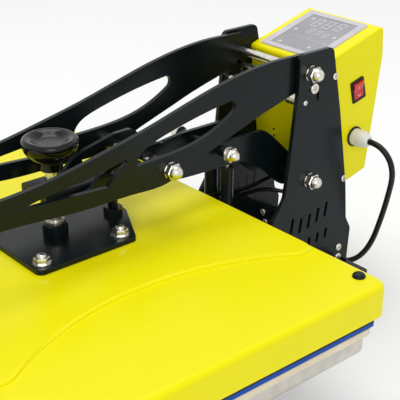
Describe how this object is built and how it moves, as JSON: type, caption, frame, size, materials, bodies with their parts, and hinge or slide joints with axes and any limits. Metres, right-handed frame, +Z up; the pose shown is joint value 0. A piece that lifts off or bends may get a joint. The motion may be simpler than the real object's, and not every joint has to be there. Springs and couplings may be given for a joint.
{
  "type": "slide-out heat press",
  "caption": "Flat heat press: long handle arms lift a covered heat platen on a toggle head over a sliding padded lower platen, with gas struts and a rear control box.",
  "frame": {"origin": "Middle of the press's outline on the bench, without its cord.", "axes": "+Z up. The operator stands on the -Y side and +X is to the operator's right. The drawer slides out along -Y."},
  "size_m": [0.636, 0.8785, 0.3569],
  "materials": {
    "yellow_coat": "smooth glossy lemon yellow powder coat on sheet steel",
    "black_coat": "glossy black powder coat on steel",
    "zinc_steel": "bright zinc plated steel",
    "rod_chrome": "polished hard chrome",
    "platen_aluminium": "machined cast aluminium",
    "blue_coating": "blue coating on the cast aluminium plate's edge",
    "element_steel": "dull stainless sheath",
    "black_rubber": "smooth dark rubber",
    "cream_silicone": "cream silicone sponge",
    "glass_wool": "matted glass fibre",
    "black_plastic": "smooth moulded black plastic",
    "white_nylon": "smooth white nylon",
    "panel_grey": "silver grey satin",
    "display_grey": "grey glossy window",
    "red_plastic": "glossy red plastic",
    "circuit_board": "green board with dark parts"
  },
  "bodies": {
    "frame": {"base_frame": "black_coat", "rubber_feet": "black_rubber", "upright_left": "black_coat", "upright_right": "black_coat", "top_shaft": "zinc_steel", "lower_shaft": "zinc_steel", "shaft_washers": "zinc_steel", "shaft_cap_nuts": "zinc_steel", "arm_stops": "zinc_steel", "cross_plate": "black_coat", "frame_screws": "zinc_steel", "strut_bracket": "black_coat", "strut_lower_pin": "zinc_steel", "slide_channels": "black_coat", "control_housing": "yellow_coat", "panel_frame": "panel_grey", "display_window": "display_grey", "switch_bezel": "black_plastic", "control_board": "circuit_board", "cord_gland": "white_nylon", "heater_cables": "black_rubber", "power_cord": "black_rubber", "cord_coil": "black_rubber", "cord_plug": "black_rubber"},
    "drawer": {"slide_bars": "zinc_steel", "carriage_plate": "black_coat", "platen_supports": "zinc_steel", "lower_platen": "platen_aluminium", "silicone_pad": "cream_silicone", "drawer_handle": "black_coat", "drawer_grip": "black_rubber"},
    "head": {"carrier_left": "black_coat", "carrier_right": "black_coat", "head_hub": "black_coat", "pressure_beam": "black_coat", "beam_bolts": "zinc_steel", "strut_upper_pin": "zinc_steel"},
    "platen": {"heat_platen": "blue_coating", "heating_element": "element_steel", "edge_gasket": "black_rubber", "insulation_blanket": "glass_wool", "platen_posts": "zinc_steel", "platen_cover": "yellow_coat", "cover_screws": "black_coat", "centre_plate": "black_coat", "flange_nuts": "zinc_steel", "thrust_cup": "black_coat", "guide_post": "black_coat"},
    "knob": {"pressure_knob": "black_plastic", "pressure_screw": "zinc_steel"},
    "handle_arms": {"arm_left": "black_coat", "arm_right": "black_coat", "arm_pins": "zinc_steel", "pin_sleeves": "zinc_steel", "arm_cap_nuts": "zinc_steel", "handle_bar": "black_coat", "handle_grips": "black_rubber"},
    "strut_lower": {"strut_cylinders": "black_coat"},
    "strut_upper": {"strut_rods": "rod_chrome"},
    "rocker": {"rocker_button": "red_plastic"}
  },
  "joints": [
    {"name": "head_lift", "type": "hinge", "parent": "frame", "child": "head", "pos_m": [0, 0.26518, 0.177], "axis": [-1, 0, 0], "range_deg": [0, 20]},
    {"name": "arm_lift", "type": "hinge", "parent": "frame", "child": "handle_arms", "pos_m": [0, 0.25918, 0.324], "axis": [-1, 0, 0], "range_deg": [0, 23.05]},
    {"name": "strut_swing", "type": "hinge", "parent": "frame", "child": "strut_lower", "pos_m": [0, 0.17218, 0.058], "axis": [-1, 0, 0], "range_deg": [0, 6.3]},
    {"name": "strut_extend", "type": "slide", "parent": "strut_lower", "child": "strut_upper", "axis": [0, 0, 1], "range_m": [0, 0.031]},
    {"name": "platen_height", "type": "slide", "parent": "head", "child": "platen", "axis": [0, 0, 1], "range_m": [0, 0.004]},
    {"name": "knob_turn", "type": "hinge", "parent": "platen", "child": "knob", "pos_m": [0, -0.07982, 0.28], "axis": [0, 0, 1], "range_deg": [0, 360]},
    {"name": "drawer_slide", "type": "slide", "parent": "frame", "child": "drawer", "axis": [0, -1, 0], "range_m": [0, 0.36]},
    {"name": "rocker_tip", "type": "hinge", "parent": "frame", "child": "rocker", "pos_m": [0.067, 0.35718, 0.279], "axis": [0, -0.9703, -0.2419], "range_deg": [0, 14]}
  ],
  "couplings": [
    {"joint": "arm_lift", "follows": "head_lift", "ratio": 1.15},
    {"joint": "strut_swing", "follows": "head_lift", "ratio": 0.31},
    {"joint": "strut_extend", "follows": "head_lift", "m_per_rad": 0.0865},
    {"joint": "knob_turn", "follows": "platen_height", "rad_per_m": 1570.8}
  ]
}
